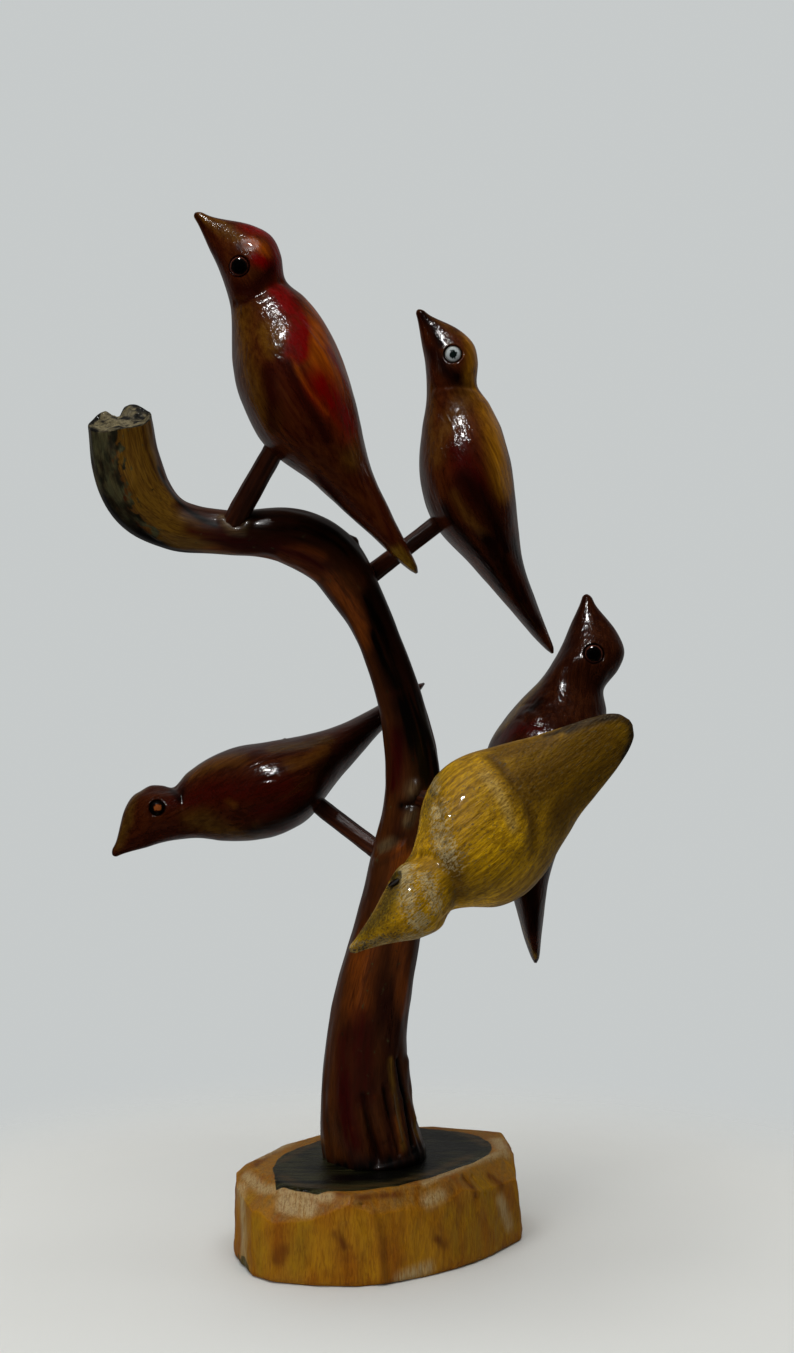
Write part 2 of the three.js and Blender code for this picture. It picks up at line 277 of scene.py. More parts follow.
def lacqueredWood(name, look):
    # Grain drawn out along the piece's first own coordinate, with patches of other colours whose edges the
    # grain breaks up. look names the colours of each patch that the piece's marks place.
    noises = (look["clouds"], 3.0), (look["streaks"], 5.0, 0.4), (look["fibres"], 4.0)
    wood, own, wave, streaks, fibres = grained(name, *noises)
    colour = wood.mix((streaks * 0.7 + wave * 0.8 - 0.25).above(0.2, 0.8), look["shade"], look["wood"])
    crumbs = wood.noise(own, (1.3, 2.0, 2.0), 4.0)
    for mark, code in look["patches"].items():
        edge = wood.read(mark) * ((streaks - 0.5) * look["ragged"] + (wave - 0.5) * 0.8 + 1)
        if look["specks"] and mark in ("pale", "speck", "dark"):  # a coat that has partly flaked off
            edge = (edge * 0.7 + (crumbs - 0.5) * 2.8).above(0.2, 0.85) * look["specks"]
        colour = wood.mix(edge, colour, code)
    colour = wood.darkened(colour, look["poreStrength"], fibres.above(0.3, 0.62), look["pores"])
    colour = wood.darkened(colour, look["veinStrength"], streaks.above(0.32, 0.66), look["veins"])
    roughness = wave * 0.1 + fibres * look["brushing"] + look["roughness"] + wood.read("dull") * 0.4
    relief = streaks + fibres * 0.5 + wood.noise(own, (0.3, 1.0, 1.0), 3.0) * look["ripples"]
    gloss = {"Specular IOR Level": look["specular"], "Coat Weight": look["coat"], "Coat Roughness": 0.05}
    return wood.shine(colour, roughness, relief, look["grainDepth"], **gloss)


# Camera, light and floor

view = {"place": (4.3, -599.6, 203.1), "pitch": 4.8, "focal": 2300, "frameHeight": 1353, "film": 36}
cameraData = bpy.data.cameras.new("camera")
cameraData.sensor_width = view["film"]
cameraData.lens = view["film"] * view["focal"] / view["frameHeight"]
cameraData.clip_start = 0.01
cameraData.clip_end = 50
camera = bpy.data.objects.new("camera", cameraData)
camera.location = np.array(view["place"]) * metres
camera.rotation_euler = (np.radians(90 - view["pitch"]), 0, 0)
bpy.context.scene.collection.objects.link(camera)
bpy.context.scene.camera = camera
bpy.context.scene.view_settings.view_transform = "Standard"

studio = {
    "wall": (0.568, 0.592, 0.592, 1),  # what stands behind the object, all round
    "light": (1.0, 0.99, 0.97, 1),
    "front": 0.03,  # light from before the object, added to from behind and from above
    "behind": 0.5,
    "above": 0.1,
    "mirrored": (0.06, 0.28),  # share of that light that gloss shows before the object, and behind it
    "lamps": [  # where it stands in metres, its width and depth, watts, and whether gloss alone shows it
        ("strip", (-0.14, -0.5, 1.3), (0.12, 0.05), 7.0, True),
        ("ceiling", (-0.05, -0.3, 1.6), (1.6, 1.6), 23.5, False),
        ("fill", (-0.9, -1.2, 0.6), (0.9, 0.9), 7.6, False),
    ],
    "aim": (0.0, 0.0, 0.14),
    "floor": "d9dad6",
    "floorMiddle": -40,
    "floorFade": (140, 230),  # where the floor begins to fade into the wall, and where it is gone
    "floorReach": 575,
}
room = Finish(bpy.data.worlds.new("room"))
bpy.context.scene.world = room.holder
towards = room.node("ShaderNodeTexCoord", {}, {}, "Generated")
behind = room.node("ShaderNodeSeparateXYZ", {}, {0: towards}, "Y")
above = room.node("ShaderNodeSeparateXYZ", {}, {0: towards}, "Z")
seen = room.node("ShaderNodeLightPath", {}, {}, "Is Camera Ray")
mirrored = room.node("ShaderNodeLightPath", {}, {}, "Is Glossy Ray")
glow = behind.above(0.0, 0.8) * studio["behind"] + above.above(0.1, 0.95) * studio["above"] + studio["front"]
low, high = studio["mirrored"]
glow = glow * (1 - mirrored * (1 - low - behind.above(0.2, 0.9) * (high - low)))
colour = room.mix(seen, studio["light"], studio["wall"])
strength = seen + (1 - seen) * glow
background = room.node("ShaderNodeBackground", {}, {"Color": colour, "Strength": strength})
room.end("ShaderNodeOutputWorld", background)
for lampName, place, size, watts, glossy in studio["lamps"]:
    lampData = bpy.data.lights.new(lampName, "AREA")
    lampData.shape = "RECTANGLE"
    lampData.size, lampData.size_y = size
    lampData.energy = watts
    lamp = bpy.data.objects.new(lampName, lampData)
    lamp.location = place
    lamp.visible_glossy = glossy
    lamp.visible_diffuse = not glossy
    lamp.rotation_mode = "QUATERNION"
    lamp.rotation_quaternion = (Vector(place) - Vector(studio["aim"])).to_track_quat("Z", "Y")
    bpy.context.scene.collection.objects.link(lamp)

floorFinish = Finish(bpy.data.materials.new("floor"))
floorPlace = floorFinish.node("ShaderNodeTexCoord", {}, {}, "Object")
ends = {0: floorPlace, 1: (0, studio["floorMiddle"] * metres, 0)}
floorDistance = floorFinish.node("ShaderNodeVectorMath", {"operation": "DISTANCE"}, ends, "Value")
fadeFrom, fadeTo = (reach * metres for reach in studio["floorFade"])
floorAlpha = 1 - floorDistance.above(fadeFrom, fadeTo)
floorCloud = floorFinish.noise(floorPlace, (9, 9, 9), 2.0)
floorFinish.shine(studio["floor"], 0.7 + floorCloud * 0.1, floorCloud, 0.2, **{"Alpha": floorAlpha})
floorMesh = bpy.data.meshes.new("floor")
corners = np.array([(-1, -1, 0), (1, -1, 0), (1, 1, 0), (-1, 1, 0)]) * studio["floorReach"] * metres
floorMesh.from_pydata(corners.tolist(), [], [(0, 1, 2, 3)])
floorMesh.materials.append(floorFinish.holder)
floor = bpy.data.objects.new("floor", floorMesh)
bpy.context.scene.collection.objects.link(floor)
floor.visible_glossy = False
print("camera, lamps and floor placed")


# Slab of log

slab = {
    "width": 78,
    "depth": 68.6,
    "height": 23.5,
    "insetAt": (0, 1.2, 12.925, 21.3, 23.5),  # heights, and how far the wall is drawn in at each
    "inset": (0.5, 0, 0.55, 1.32, 2.86),
    "shift": 1,
    "columns": 560,
    "wallRings": 84,
    "edgeRings": 44,  # those of the wall that are close together near the top edge
    "topRings": 60,
    "edge": 0.7,  # radius of the worn edge round the top
    "knife": [((8, 8, 12), 3, 3, 0.4), ((2.4, 2.4, 5), 5, 2, 0.14)],
    "sagging": [((14, 14, 9), 11, 2, 0.12)],
    "corners": [  # of the outline, in shares of the width and depth
        (0.487, 0.06), (0.485, 0.28), (0.472, 0.42), (0.3, 0.485), (0.141, 0.545), (-0.038, 0.505),
        (-0.218, 0.4), (-0.385, 0.206), (-0.5, 0.02), (-0.49, -0.14), (-0.425, -0.353), (-0.35, -0.42),
        (-0.218, -0.46), (-0.077, -0.47), (0.013, -0.443), (0.154, -0.362), (0.256, -0.274), (0.362, -0.15),
    ],
    "facets": [  # bearing, rise and bite
        (-32, 42, 2.5), (-64, 34, 1.5), (-116, 38, 2.4), (-158, 40, 2), (152, 44, 1.8), (98, 40, 1.6),
    ],
    "chips": [(-111, 38, 38.0), (-55, 30, 31.1), (-152, 51, 38.6)],  # bearing, rise, place
    "painted": [  # outline of the painted patch
        (-28.7, -7.1), (-27.4, -16.6), (-26.7, -21.8), (-21.4, -24.3), (-15.8, -26.7), (-9.4, -27.2),
        (-3.1, -25.7), (4.8, -22.6), (9.6, -18.6), (14.5, -14.4), (20.3, -7.1), (24.6, -2.3), (29, 5.6),
        (30.3, 11.4), (29.5, 17.3), (26.8, 22.8), (21.5, 26.8), (16, 29.4), (10.5, 30.4), (-0.5, 29.4),
        (-8.8, 27), (-15.7, 20.3), (-20.6, 14.3), (-25.3, 7), (-27.5, 0.1),
    ],
}


def insidePolygon(places, corners):  # distance inside a closed outline, less than nothing outside it
    corners = np.asarray(corners, float)
    inside = np.zeros(places.shape[:-1], bool)
    for a, b in zip(corners, np.roll(corners, -1, axis=0)):
        crosses = (a[1] > places[..., 1]) != (b[1] > places[..., 1])
        rise = b[1] - a[1] if b[1] != a[1] else 1e-9
        inside ^= crosses & (places[..., 0] < a[0] + (places[..., 1] - a[1]) * (b[0] - a[0]) / rise)
    away = awayFrom(places, np.concatenate([corners, corners[:1]]))
    return np.where(inside, away, -away)


def slabReach(angle, height, whittled=True):
    # Distance from the slab's axis to its wall at an angle and a height: where a ray meets the outline at
    # that height, cut back to the nearest facet or chip where it is whittled.
    inset = np.interp(height, slab["insetAt"], slab["inset"])
    corners = np.array(slab["corners"]) * (slab["width"], slab["depth"])
    ray = np.stack([np.cos(angle), np.sin(angle)], -1)
    best = np.full(np.broadcast(angle, height).shape, np.inf)
    shift = -slab["shift"] * height / slab["height"]

    def drawnIn(corner):
        away = np.linalg.norm(corner)
        return corner * ((away - inset) / away)[..., None] + np.stack([shift, 0 * shift], -1)

    for a, b in zip(corners, np.roll(corners, -1, axis=0)):
        near = drawnIn(a)
        edge = drawnIn(b) - near
        below = ray[..., 0] * edge[..., 1] - ray[..., 1] * edge[..., 0]
        reach = (near[..., 0] * edge[..., 1] - near[..., 1] * edge[..., 0]) / below
        t = (near[..., 0] * ray[..., 1] - near[..., 1] * ray[..., 0]) / below
        best = np.where((reach > 0) & (t >= -1e-6) & (t <= 1 + 1e-6), np.minimum(best, reach), best)
    cuts = [(*facet, False) for facet in slab["facets"]] + [(*chip, True) for chip in slab["chips"]]
    for bearing, rise, bite, chip in cuts if whittled else []:
        facing = aimed(bearing, rise)
        away = np.linalg.norm(corners, axis=1, keepdims=True)
        top = corners * (1 - slab["inset"][3] / away) - (slab["shift"], 0)
        offset = bite if chip else (top @ facing[:2]).max() + facing[2] * slab["insetAt"][3] - bite
        turned = ray @ facing[:2]
        cut = (offset - facing[2] * height) / np.where(turned > 0.05, turned, np.inf)
        best = np.where(turned > 0.05, np.minimum(best, cut), best)
    return best


def makeSlab():
    columns, edge = slab["columns"], slab["edge"]
    angle = fullTurn * np.arange(columns) / columns
    close = 0.6  # the share of the height where rings get closer
    low = np.linspace(0, close, slab["wallRings"] - slab["edgeRings"], endpoint=False)
    up = np.concatenate([low, np.linspace(close, 1, slab["edgeRings"])])
    height = up[:, None] * slab["height"] + 0 * angle[None]
    reach = slabReach(angle[None] + 0 * height, height)
    cutBack = slabReach(angle[None] + 0 * height, height, False) - reach
    kernel = np.exp(-np.linspace(-1.6, 1.6, 5) ** 2)
    wrapped = np.concatenate([reach[:, -2:], reach, reach[:, :2]], axis=1)
    reach = sum(k * wrapped[:, i:i + columns] for i, k in enumerate(kernel / kernel.sum()))
    nearTop = np.clip((height - slab["height"] + edge) / edge, 0, 1)
    nearFoot = np.clip((edge - height) / edge, 0, 1)
    wall = ringed(reach, angle, height)
    # Knife work: shallow hollows, ripples across the grain, and the fibres left standing.
    knife = layered(wall, slab["knife"]) + raisedBy(wall, slabRelief, 3, asIs)
    knife -= 0.5 * ease(lumps(wall, (5, 5, 3.2), 8, 2), 0.45, 0.9) * (nearTop + 0.4 * (height < 3))
    reach = reach + knife * (1 - nearTop * 0.7) * (1 - nearFoot)
    reach = reach - edge * (2 - np.sqrt(1 - nearTop ** 2) - np.sqrt(1 - nearFoot ** 2))
    share = np.linspace(1, 0.01, slab["topRings"])[1:, None]
    top = ringed(reach[-1] * share, angle, slab["height"])
    top[..., 2] += (layered(top, slab["sagging"]) - 0.12) * np.minimum(1, 3 * (1 - share))
    foot = ringed(reach[0] * share[::-1][::3], angle, 0)
    grid = np.concatenate([foot, ringed(reach, angle, height), top])
    inside = insidePolygon(grid[..., :2], slab["painted"]) + lumps(grid, 7, 21, 2) * 0.35
    painted = ease(inside, -0.3, 0.4) * (grid[..., 2] > slab["height"] - 1.5)
    rim = np.concatenate([0 * foot[..., 0], ease(cutBack, 0.1, 0.7), 1 + 0 * top[..., 0]])
    bark = ease(3.2 + lumps(grid, 4, 23, 2) * 2 - awayFrom(grid, [(-37, -12, 0), (-34, -24, 0)]), 0, 2)
    marks = {"own": grid[..., [2, 0, 1]], "painted": painted, "rim": rim, "bark": bark, "dull": 0.5 * bark}
    marks.update({kind: covered(grid, rows, 3, asIs) for kind, rows in slabStrokes.items()})
    gridPiece("slab", grid, marks, "plinth", slabWood())


def asIs(*point):
    return point


# straw is paler wood and, on the right of the wall, painted light; pale is paler cut wood and, on the left
# facet, partly a painted sheen.
slabTones = {"yellow": "a27008", "straw": "946a0a", "darker_lines": "683804", "pale": "a88e60"}
# The near-black patch on the paint just before the trunk's foot is a painted reflection of the trunk.
paintTones = {"worn": "3e3018", "trunk_reflection": "030202"}
slabStrokes = {
    "pale": [(1.3, -35.4, -7.5, 21.5, -30.6, -17.6, 21.1, -24.3, -23.7, 22.3, -17.3, -26.7, 21.9, -12.9, -28,
        22.3), ((2.6, 1), -24.3, -25.6, 19.9, -18.4, -28.3, 19.5),
        (1.6, -32.8, 2.6, 23.5, -29.3, 9.1, 23.5, -25.4, 16, 23.5),
        (1.6, 12.2, -21.8, 19.1, 15.4, -19, 19.9), (1.6, 5.2, -28.2, 1.2, 12.7, -24.2, 2.4),
        # The pale stroke down the left facet (x -36.9) is paler wood and partly a painted sheen on that
        # facet.
        (1.6, 31.7, -3.3, 13.5, 34.4, -0.5, 6), (2.3, -36.9, -10.9, 19.1, -35.8, -16.5, 13.9, -35.3, -18, 2),
        (1.8, 31.8, 18.9, 23.5, 33.2, 9.4, 23.1),
        (1, 11.5, -19.3, 23.5, 16.8, -12.5, 23.5, 25, -1.6, 23.5, 32.1, 7.7, 23.1)],
    "yellow": [(2.9, -14.5, -31.5, 6.4, -15.9, -31.2, 11.6), (2.9, -4.9, -31, 15.9, -2, -31, 4.4),
        (2.3, -30.1, -26.4, 8.4, -28.5, -27.8, 4.4), (3.7, 10.3, -24.9, 12.3, 11.1, -25, 4.4)],
    # The straw rows on the right of the wall (x from 18 to 36) are painted light that lifts it where the
    # lamps leave it dim; the row down the left facet (x -34.7) also paints that facet's sheen.
    "straw": [(4.7, 28.2, -7.6, 17.5, 31.6, -4.6, 5.6), (3.1, -34.7, -17.1, 18.3, -34.8, -19.5, 2.4),
        (2.6, -20.1, -30.1, 15.5, -21.4, -30.3, 5.2), (2.6, 18.5, -18.5, 14.7, 19.6, -18.6, 5.2),
        (3.7, 23.4, -13.9, 13.1, 24.5, -13.7, 4.8), (2.3, -31.7, -25, 13.9, -30.6, -26.2, 3.2),
        (2.1, 36.2, 8.2, 18.3, 36.1, 1.9, 5.2)],
    # Darker lines along the wall's knife grooves, nicks and top edge.
    "darker_lines": [(1, -33.4, -4.8, 23.5, -31.3, 2.1, 23.5, -28.4, 7.6, 23.5),
        (0.8, -10.8, -28.2, 23.1, -4.9, -28.7, 22.3, 5.1, -24.1, 21.9),
        (1.6, -24.9, -29.2, 8.8, -26.1, -29, 6.4), (1, -11.1, -31.3, 13.9, -8.9, -31.7, 10.4),
        (1, 14.4, -22.2, 9.6, 17, -20.5, 7.2), (0.8, -1.6, -29.7, 18.7, 0, -30, 11.9, 0.8, -30.4, 1.6),
        (1, 21.8, -10.8, 21.9, 25.3, -11.3, 17.1), (1.3, 29, -2.7, 19.9, 32.1, -2.1, 17.1)],
    "worn": [(1.3, -25.4, -14.2, 23.5, -20.8, -21.9, 23.5, -10.4, -24.2, 23.5, 2.4, -20.4, 23.5, 12.9, -11.3,
        23.5, 23.8, 3.8, 23.5), (1, -26.3, -1.4, 23.5, -21.9, 9.1, 23.5, -16.7, 17.1, 23.5),
        (1.3, 16.4, 31.1, 23.5, 24.2, 23, 23.5, 28.5, 14.1, 23.5)],
    # Painted reflection of the trunk in the glossy paint, just before its foot.
    "trunk_reflection": [(4.2, -10.4, -15.6, 23.5, -0.2, -14, 23.5, 10.3, -3.4, 23.5)],
}
slabRelief = [
    (0.6, 2.3, -1.6, -29.8, 18.3, 0, -30, 11.9, 0.8, -30.4, 1.6),
    (-0.6, 0.8, 21.7, -10.3, 22.3, 25.4, -11.3, 16.7), (-0.5, 0.8, 24.1, -7.8, 21.5, 27.6, -8.6, 17.1),
    (-0.4, 0.7, 27, -4.6, 20.7, 29.4, -5.9, 17.5), (-0.9, 1, -4.7, -29.8, 20.7),
    (-0.6, 3.1, -17.8, -30.9, 13.1, -19, -30.9, 4.8), (-0.5, 3.7, 10.3, -24.9, 12.3, 11.8, -24.7, 3.6),
    (-0.5, 2.1, -8.8, -31.3, 15.5, -7.3, -32.1, 3.2),
]


def slabWood():
    noises = ((0.06, 0.09, 0.09), 4.0), ((0.09, 0.6, 0.6), 5.0, 0.5), ((0.35, 2.4, 2.4), 5.0, 0.8)
    wood, own, wave, streaks, fibres = grained("slab wood", *noises)
    brushed = wood.noise(own, (0.0, 0.04, 0.5), 4.0, 0.6)
    colour = wood.mix((wave * 1.6 + streaks * 0.6 - 0.6).above(0.2, 0.8), "884e02", "a06c08")
    glow = (wood.noise(own, (0.05, 0.12, 0.12), 3.0) + (fibres - 0.5) * 0.3).above(0.5, 0.75)
    colour = wood.mix(glow * 0.6, colour, "a6781e")
    colour = wood.mix(wood.read("rim") * ((streaks - 0.5) * 2.0 + 0.35), colour, "745830")
    striae = wood.noise(own, (0.15, 2.2, 0.35), 4.0, 0.6)
    for mark, code in slabTones.items():
        along = striae if mark == "pale" else streaks
        edge = wood.read(mark) * ((along - 0.5) * 2.2 + (fibres - 0.5) + 0.85)
        colour = wood.mix(edge, colour, code)
    colour = wood.darkened(colour, 0.38, fibres.above(0.3, 0.62), "8a5e30")
    bark = (wood.read("bark") + (streaks - 0.5) * 0.8).above(0.45, 0.6)
    colour = wood.mix(bark * 0.8, colour, "3a3a1a")
    paintTone = wood.mix((brushed + (wave - 0.5) * 0.8).above(0.35, 0.7), "0a0b03", "34321c")
    for mark, code in paintTones.items():
        paintTone = wood.mix(wood.read(mark) * ((brushed - 0.5) * 3.0 + 0.9), paintTone, code)
    painted = (wood.read("painted") + (fibres - 0.5) * 0.6).above(0.4, 0.6)
    colour = wood.mix(painted, colour, paintTone)
    roughness = 0.42 + fibres * 0.16 - painted * 0.2 - wood.read("pale") * 0.12
    gloss = {"Specular IOR Level": 0.14, "Coat Weight": 0.04, "Coat Roughness": 0.1}
    relief = streaks + fibres * 0.9 + striae * wood.read("pale") * 1.6
    return wood.shine(colour, roughness, relief, 0.16, **gloss)


makeSlab()
print("slab made")


# Branch

branch = {
    "foot": 23.8,
    "rise": 197,
    "thickness": 26.6,
    "rings": 430,
    "sides": 190,
    "capRings": 22,
    "sawTilt": 21,
    "sawBearing": -113,
    "sawBite": 6.6,
    "swell": [((26, 9, 9), 31, 3, 0.45), ((11, 3.2, 3.2), 37, 2, 0.16)],
    "worn": [  # how the weathered cut is broken away or left standing: height, width and place
        (0.9, 7, -66.6, -8.5, 217), (0.6, 5, -73.5, -5, 217), (1.5, 6, -65, 7.5, 222.4),
        (-2.4, 2.8, -69.6, 8, 222), (0.9, 4, -73, 6, 221), (-1, 2.6, -72.5, 0, 219),
        (-1.2, 3.2, -66, -2, 219), (-0.8, 1.6, -62, -4, 218.6),
    ],
    "line": [  # middle of the branch, in shares of its rise
        (-0.006, 0.02, 0), (-0.019, 0.02, 0.076), (-0.02, 0.018, 0.146), (-0.01, 0.016, 0.229),
        (0.01, 0.015, 0.324), (0.031, 0.015, 0.419), (0.044, 0.015, 0.514), (0.034, 0.015, 0.588),
        (0.007, 0.013, 0.675), (-0.026, 0.01, 0.751), (-0.068, 0.008, 0.814), (-0.124, 0.005, 0.841),
        (-0.2, 0, 0.845), (-0.27, 0, 0.857), (-0.313, 0, 0.889), (-0.335, 0, 0.937), (-0.343, 0, 0.985),
        (-0.345, 0, 1.012),
    ],
    "girth": [  # share along it, and share of its thickness there
        (0, 1.02), (0.06, 0.905), (0.15, 0.793), (0.23, 0.705), (0.345, 0.59), (0.45, 0.512), (0.556, 0.42),
        (0.6, 0.432), (0.655, 0.545), (0.69, 0.605), (0.72, 0.59), (0.76, 0.5), (0.807, 0.448),
        (0.853, 0.508), (0.897, 0.645), (0.94, 0.675), (1, 0.632),
    ],
}


def branchCentres():
    # Centripetal Catmull-Rom curve: on each span the cubic whose end slopes come from three neighbouring
    # chords, each weighed by the square root of its length. Returns many points and their distance along it.
    line = np.array(branch["line"]) * branch["rise"] + (0, 0, branch["foot"])
    ends = np.concatenate([[2 * line[0] - line[1]], line, [2 * line[-1] - line[-2]]])
    gap = np.sqrt(np.linalg.norm(np.diff(ends, axis=0), axis=1))[:, None]
    chord = np.diff(ends, axis=0) / gap
    wide = (ends[2:] - ends[:-2]) / (gap[1:] + gap[:-1])
    middle = chord[:-1] - wide + chord[1:]
    t = np.linspace(0, 1, 120, endpoint=False)[None, :, None]
    start, end = line[:-1, None], line[1:, None]
    slopeStart, slopeEnd = (middle[:-1] * gap[1:-1])[:, None], (middle[1:] * gap[1:-1])[:, None]
    points = (
        start * (2 * t ** 3 - 3 * t ** 2 + 1) + end * (3 * t ** 2 - 2 * t ** 3)
        + slopeStart * (t ** 3 - 2 * t ** 2 + t) + slopeEnd * (t ** 3 - t ** 2)
    ).reshape(-1, 3)
    points = np.concatenate([points, line[-1:]])
    return points, np.concatenate([[0], np.cumsum(np.linalg.norm(np.diff(points, axis=0), axis=1))])


centres, centreDistance = branchCentres()
branchLength = centreDistance[-1]


def branchRadius(along):
    return branch["thickness"] / 2 * curved(branch["girth"], along)[..., 0]


def branchOwn(along, turn):  # the branch made straight: distance from the foot, and place across
    return ringed(branchRadius(along), np.radians(turn), along * branchLength)[..., [2, 0, 1]]


def branchPoint(along, turn, swell=0.0):
    # Point at a share along the branch and degrees round it, from its outer side towards the front.
    centreAt = lambda where: np.stack([np.interp(where, centreDistance, centres[:, i]) for i in range(3)], -1)
    where = np.asarray(along) * branchLength
    onward = unit(centreAt(where + 0.4) - centreAt(where - 0.4))
    front = unit(np.array([0, -1.0, 0]) + onward[..., 1:2] * onward)
    outer = np.cross(onward, front)
    radius = branchRadius(along)[..., None] + np.asarray(swell)[..., None]
    angle = np.radians(turn)[..., None]
    return centreAt(where) + radius * (outer * np.cos(angle) + front * np.sin(angle))


def makeBranch():
    sides = branch["sides"]
    turn = 360 * np.arange(sides) / sides
    along = spread(branch["rings"], lambda s: 1 + 0.8 * np.exp(-((s - 0.02) / 0.04) ** 2) + 0.8 * (s > 0.94))
    # The sawn end is a plane, so the last rings are drawn back to where each side meets it.
    facing = aimed(branch["sawBearing"], 90 - branch["sawTilt"])
    tip = np.linspace(0.9, 1, 201)[:, None]
    height = branchPoint(tip + 0 * turn, turn + 0 * tip) @ facing
    cut = height.max() - branch["sawBite"]
    crossing = np.array([np.interp(cut, height[:, i], tip[:, 0]) for i in range(sides)])
    late = 0.93
    along = along[:, None] + 0 * turn
    share = np.where(along < late, along, late + (along - late) * (crossing - late) / (1 - late))
    turns = turn + 0 * share
    own = branchOwn(share, turns)
    swell = layered(own, branch["swell"])
    flutes = lumps(own, (30, 4.2, 4.2), 41, 2) * ease(0.14 - share, 0, 0.14) * 1.1
    swell = (swell + flutes) * ease(share, 0, 0.004)
    step = lambda thousandths, degrees: branchOwn(thousandths / 1000, degrees)
    marks = {"own": own, **{kind: covered(own, rows, 2, step) for kind, rows in branchStrokes.items()}}
    marks["black"] = np.maximum(marks["black"], 1 - ease(share, 0.003, 0.02))  # stained by the slab's paint, and painted shadow where the foot meets the slab
    tube = branchPoint(share, turns, swell + raisedBy(own, branchRelief, 2, step))
    tube[0, :, 2] = branch["foot"] - 0.25
    # Weathered cut: rings that shrink to the middle on the plane, hollowed and cracked, with painted shade in
    # its cracks and hollows.
    shrink = np.linspace(1, 0.02, branch["capRings"])[1:, None, None]
    middle = tube[-1].mean(0)
    cap = middle + (tube[-1][None] - middle) * shrink
    worn = lumps(cap, 3, 51, 3) * 0.8 - 0.5 * ease(1 - shrink[..., 0], 0, 0.25)
    cap = cap + (worn * ease(1 - shrink[..., 0], 0, 0.12))[..., None] * facing
    grid = np.concatenate([tube, cap])
    near = ease(grid @ facing - cut, -4, -0.5)
    rise = raisedBy(grid, branch["worn"], 3, asIs)
    grid = grid + (rise * near)[..., None] * facing
    # Painted shade: darkest in the cracks that the noise places and in the hollows of the worn cut.
    crevice = ease(-lumps(grid, (2.2, 2.2, 1.2), 57, 3) - 0.35 * rise, -0.1, 0.7)
    capOwn = own[-1][None] * (1, 0, 0) + own[-1][None] * (0, 1, 1) * shrink + (0.5, 0, 0)
    onCap = {kind: values[-1][None] + 0 * shrink[..., 0] for kind, values in marks.items() if kind != "own"}
    onCap["own"] = capOwn
    marks = {kind: np.concatenate([values, onCap[kind]]) for kind, values in marks.items()}
    marks["cut"] = np.concatenate([0 * share, 1 + 0 * shrink[..., 0] + 0 * own[-1][None, :, 0]])
    marks["cut"][len(tube) - 1] = 1
    marks["crevice"] = np.maximum(crevice * marks["cut"], 0)
    for ring, strength in ((-2, 0.4), (-1, 1.1), (0, 0.9), (1, 0.4)):  # the cracked edge of the cut, a broken line of painted shade
        broken = strength + lumps(grid[len(tube) + ring], 2.4, 59, 2) * 0.8
        crack = marks["crevice"][len(tube) + ring]
        crack[:] = np.maximum(crack, np.clip(broken, 0, 1))
    marks["cut"][len(tube) - 2] = 0.6
    gridPiece("bough", grid, marks, "branch", branchWood())


# Strokes and relief on the branch and the birds give each step as thousandths along and degrees round.
branchStrokes = {
    # Tan wood; its thin light line along the moss's edge is a painted highlight.
    "tan": [(3.1, 977, 46, 935, 56, 901, 66, 871, 82, 842, 100, 821, 114),
        (2.1, 977, 24, 945, 30, 910, 38, 872, 52), (1.8, 854, 134, 836, 134),
        (2.1, 972, 78, 949, 82, 937, 86, 922, 80, 903, 84, 889, 98, 872, 106, 854, 116, 834, 132),
        (1, 828, 140, 808, 158, 783, 170), (4, 985, 235, 930, 230), (0.8, 119, 54, 58, 48, 13, 52),
        (0.8, 72, 8, 23, 20, 2, 14)],
    "moss": [((4.2, 3.7), 981, 112, 956, 118, 923, 124, 907, 130),
        ((4.2, 3.7), 979, 136, 954, 136, 930, 144, 905, 156), (3.1, 907, 128, 888, 136, 869, 152),
        ((4.2, 3.7), 985, 165, 950, 172, 915, 186), ((4.2, 3.7), 985, 200, 955, 204),
        (1.6, 868, 162, 849, 170, 828, 178)],
    "black": [(1.8, 912, 154, 897, 156, 879, 166, 860, 178), (1.6, 874, 144, 858, 152, 840, 178),
        (0.8, 920, 24, 875, 26, 845, 42, 825, 58, 809, 70), (3.9, 764, 64, 737, 70, 709, 64, 677, 54),
        ((3.7, 2.1), 621, 50, 596, 58), ((5.2, 2.6), 582, 56, 564, 60, 535, 62),
        ((5.2, 2.6), 506, 62, 466, 58, 435, 50), (1.3, 404, 80, 396, 94, 395, 112),
        # The three thin lines at the foot lie in its flute grooves: painted shade.
        (0.7, 82, 92, 42, 88, 9, 84), (0.7, 86, 64, 42, 60, 9, 60), (0.7, 117, 40, 66, 30, 12, 36)],
    "wine": [((2.3, 1.6), 818, 94, 798, 102, 773, 116), (1.6, 834, 92, 808, 100),
        (2.6, 751, 126, 713, 118, 683, 116), (2.3, 475, 112, 442, 132, 417, 142),
        ((2.6, 2.1), 164, 104, 120, 94, 79, 94), (2.3, 137, 122, 76, 116, 34, 112)],
    "orange": [(1.3, 733, 120, 711, 104, 689, 98), (1.8, 814, 140, 783, 170, 727, 158, 677, 146),
        (1.6, 736, 136, 693, 124, 654, 114), (2.3, 654, 132, 626, 114, 585, 120),
        (2.9, 245, 122, 207, 120, 170, 112), (2.1, 264, 62, 220, 50, 175, 32),
        (1.8, 337, 72, 347, 100, 305, 90), (1.6, 46, 50, 12, 56), (0.7, 47, 110)],
    "glue": [(1.8, 417, 90, 412, 92), (1.3, 389, 90, 378, 94), (1.3, 344, 144, 354, 118),
        (1, 803, 48, 793, 82, 780, 86, 776, 60)],
    "dull": [(2.1, 843, 52, 820, 72, 802, 80), (1.8, 44, 136, 28, 124, 13, 106, 2, 80, 0, 56, 0, 22)],
}
